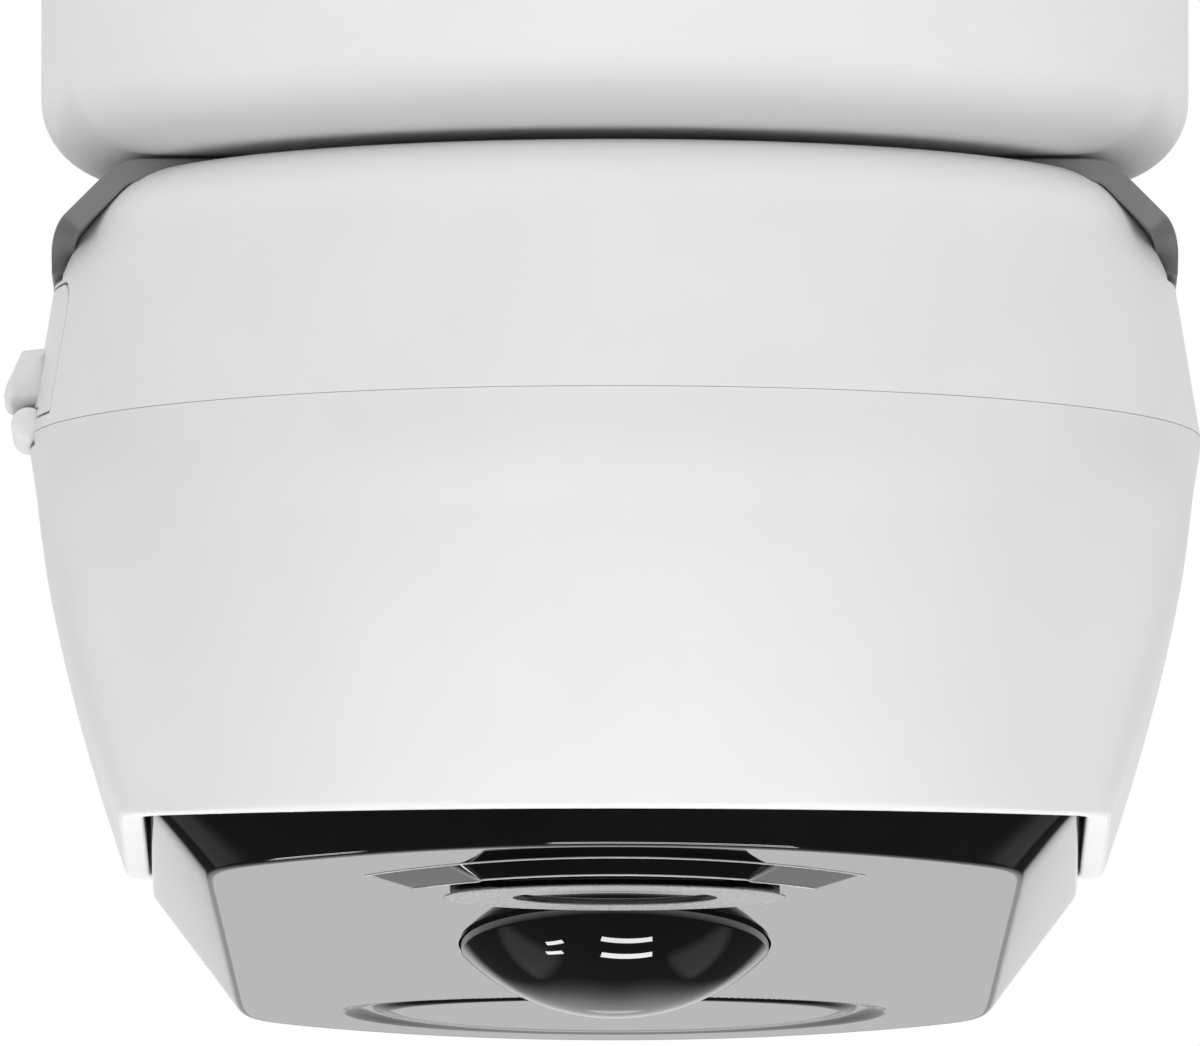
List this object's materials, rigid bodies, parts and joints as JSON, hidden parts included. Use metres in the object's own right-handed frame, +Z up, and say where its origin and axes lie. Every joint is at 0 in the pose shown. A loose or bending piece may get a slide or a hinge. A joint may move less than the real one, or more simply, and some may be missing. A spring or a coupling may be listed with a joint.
{
  "type": "security camera",
  "caption": "Ceiling camera with a round base, a panning head, a side service door and a tilting glossy front with a glass dome lens.",
  "frame": {"origin": "centre of the ceiling screw circle, on the ceiling face and the swivel axis", "axes": "+Z up into the ceiling, -Y towards the side the lens front is tilted to, -X towards the service door"},
  "size_m": [0.1536, 0.15, 0.1433],
  "materials": {
    "white_paint": "satin white powder coat",
    "white_shell": "satin white moulded polycarbonate",
    "grey_paint": "dark grey powder coat",
    "steel": "zinc plated sheet",
    "screw_steel": "plated",
    "cast_alloy": "bare die casting",
    "black_alloy": "black anodised",
    "seal_rubber": "soft moulded",
    "bush_plastic": "natural acetal",
    "board_green": "solder mask over glass laminate",
    "jack_metal": "bright plated sheet",
    "terminal_plastic": "moulded",
    "black_plastic": "fine moulded grain",
    "button_plastic": "moulded",
    "smoked_gloss": "polished smoked polycarbonate",
    "ring_grey": "fine sparkle grey",
    "lens_glass": "polished dark coated glass",
    "coated_glass": "multi-coated",
    "sensor_die": "cover glass over a die",
    "led_lens": "clear epoxy"
  },
  "bodies": {
    "base": {"mount_cap": "white_paint", "ceiling_plate": "steel", "ceiling_gasket": "seal_rubber", "cap_screws": "screw_steel", "swivel_bush": "bush_plastic", "cable_grommet": "seal_rubber"},
    "head": {"bracket": "grey_paint", "retaining_ring": "steel", "bracket_screws": "screw_steel", "upper_shell": "white_shell", "lower_shell": "white_shell", "shell_screws": "screw_steel", "chassis": "cast_alloy", "pivot_arm_left": "steel", "pivot_arm_right": "steel", "tilt_pins": "screw_steel", "arm_screws": "screw_steel", "main_board": "board_green", "board_screws": "screw_steel", "power_board": "board_green", "network_jack": "jack_metal", "terminal_block": "terminal_plastic", "io_board": "board_green", "card_socket": "jack_metal", "reset_switch": "black_plastic", "door_pin": "screw_steel"},
    "door": {"service_door": "white_shell", "door_pull": "white_shell"},
    "card": {"memory_card": "black_plastic"},
    "button": {"reset_button": "button_plastic"},
    "front": {"front_frame": "black_plastic", "front_window": "smoked_gloss", "window_gasket": "seal_rubber", "window_screws": "screw_steel", "sensor_ring": "ring_grey", "sensor_window": "smoked_gloss", "light_sensor": "black_plastic", "lens_dome": "lens_glass", "lens_gasket": "seal_rubber", "lens_barrel": "black_alloy", "rear_lenses": "coated_glass", "lens_mount": "black_plastic", "sensor_board": "board_green", "image_sensor": "sensor_die", "ir_led_board": "board_green", "ir_leds": "led_lens"}
  },
  "joints": [
    {"name": "head_pan", "type": "hinge", "parent": "base", "child": "head", "pos_m": [0, 0, -0.0355], "axis": [0, 0, 1], "range_deg": [-175, 175]},
    {"name": "front_tilt", "type": "hinge", "parent": "head", "child": "front", "pos_m": [0, 0, -0.1215], "axis": [1, 0, 0], "range_deg": [-3, 17]},
    {"name": "door_hinge", "type": "hinge", "parent": "head", "child": "door", "pos_m": [-0.075, 0, -0.068], "axis": [0, -1, 0], "range_deg": [0, 95]},
    {"name": "card_push", "type": "slide", "parent": "head", "child": "card", "axis": [1, 0, 0], "range_m": [0, 0.0008]},
    {"name": "reset_press", "type": "slide", "parent": "head", "child": "button", "axis": [1, 0, 0], "range_m": [0, 0.0008], "stiffness_N_per_m": 1500}
  ]
}
